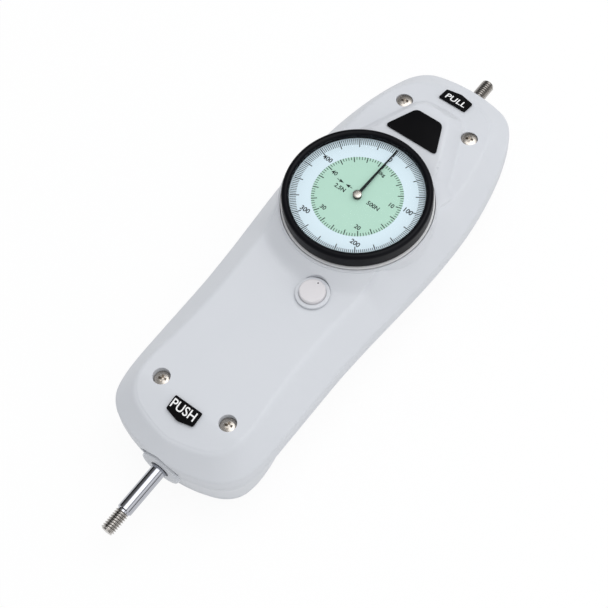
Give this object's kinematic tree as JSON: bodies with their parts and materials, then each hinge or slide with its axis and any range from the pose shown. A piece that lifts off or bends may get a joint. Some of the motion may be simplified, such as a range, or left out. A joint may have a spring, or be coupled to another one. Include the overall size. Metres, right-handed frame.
{
  "type": "analog force gauge",
  "caption": "Hand-held push and pull force gauge: round dial with turning zero ring, sprung shaft out of both ends, peak hold button, two-part cast housing.",
  "frame": {"origin": "on the rear face, midway between the shaft's two tips and between the two sides", "axes": "+X to the right seen from the front, +Y along the shaft to the pull end, +Z out of the dial"},
  "size_m": [0.0712, 0.24, 0.05],
  "materials": {
    "painted_case": "fine satin paint on die-cast aluminium",
    "steel": "turned and plated",
    "spring_steel": "drawn wire",
    "brass": "machined",
    "bronze": "machined",
    "bare_aluminium": "machined",
    "black_anodised": "satin black",
    "black_paint": "matt black",
    "dial_white": "printed dial",
    "crystal": "clear",
    "button_plastic": "smooth",
    "brake_cork": "cork rubber"
  },
  "bodies": {
    "housing": {"front_cover": "painted_case", "rear_cover": "painted_case", "cover_screw_1": "steel", "cover_screw_2": "steel", "cover_screw_3": "steel", "cover_screw_4": "steel", "mount_insert_1": "brass", "mount_insert_2": "brass", "mount_insert_3": "brass", "mount_insert_4": "brass", "push_bush": "bronze", "pull_bush": "bronze", "name_plate": "black_paint", "push_plate": "black_paint", "pull_plate": "black_paint", "chassis_plate": "bare_aluminium", "chassis_screw_1": "steel", "chassis_screw_2": "steel", "chassis_screw_3": "steel", "chassis_screw_4": "steel", "spring_anchor": "bare_aluminium", "anchor_screw_1": "steel", "anchor_screw_2": "steel", "load_spring": "spring_steel", "bridge_plate": "brass", "bridge_pillar_1": "brass", "bridge_pillar_2": "brass", "bridge_pillar_3": "brass", "case_screw_1": "steel", "case_screw_2": "steel", "case_screw_3": "steel", "dial_case": "bare_aluminium", "hairspring": "bronze", "hairspring_stud": "brass", "button_collar": "painted_case", "button_spring": "spring_steel", "lever_pin": "steel"},
    "shaft": {"push_rod": "steel", "pull_stud": "steel", "spring_collar": "steel", "collar_nut": "steel", "carriage": "bare_aluminium", "rack": "steel", "pull_nut": "steel"},
    "gear_arbor": {"drive_pinion": "steel", "drive_gear": "brass"},
    "pointer_arbor": {"centre_pinion": "steel", "pointer": "black_paint", "pointer_cap": "steel"},
    "zero_ring": {"bezel": "black_anodised", "crystal_ring": "black_anodised", "crystal": "crystal", "crystal_spacer": "black_anodised", "dial_plate": "dial_white"},
    "button": {"button_stem": "steel", "button_clip": "spring_steel"},
    "button_head": {"button_cap": "button_plastic"},
    "brake": {"brake_lever": "steel", "brake_pad": "brake_cork"}
  },
  "joints": [
    {"name": "shaft_slide", "type": "slide", "parent": "housing", "child": "shaft", "axis": [0, 1, 0], "range_m": [0, 0.01], "stiffness_N_per_m": 50000, "deforming": ["load_spring"]},
    {"name": "gear_turn", "type": "hinge", "parent": "housing", "child": "gear_arbor", "pos_m": [-0.01001, 0.0145, 0.025], "axis": [0, 0, 1], "range_deg": [0, 96]},
    {"name": "pointer_turn", "type": "hinge", "parent": "housing", "child": "pointer_arbor", "pos_m": [0, 0.0307, 0.045], "axis": [0, 0, 1], "range_deg": [-360, 0]},
    {"name": "zero_turn", "type": "hinge", "parent": "housing", "child": "zero_ring", "pos_m": [0, 0.0307, 0.046], "axis": [0, 0, 1], "continuous": true},
    {"name": "button_press", "type": "slide", "parent": "housing", "child": "button", "axis": [0, 0, -1], "range_m": [0, 0.0025], "stiffness_N_per_m": 600, "springref_m": -0.0015, "deforming": ["button_spring"]},
    {"name": "button_twist", "type": "hinge", "parent": "button", "child": "button_head", "pos_m": [0.0082, -0.0081, 0.036], "axis": [0, 0, 1], "range_deg": [0, 90]},
    {"name": "brake_tilt", "type": "hinge", "parent": "housing", "child": "brake", "pos_m": [0.0082, 0.002, 0.025], "axis": [1, 0, 0], "range_deg": [0, 15]}
  ],
  "couplings": [
    {"joint": "gear_turn", "follows": "shaft_slide", "rad_per_m": 166.67},
    {"joint": "pointer_turn", "follows": "shaft_slide", "rad_per_m": -625},
    {"joint": "brake_tilt", "follows": "button_press", "rad_per_m": 104.7}
  ]
}
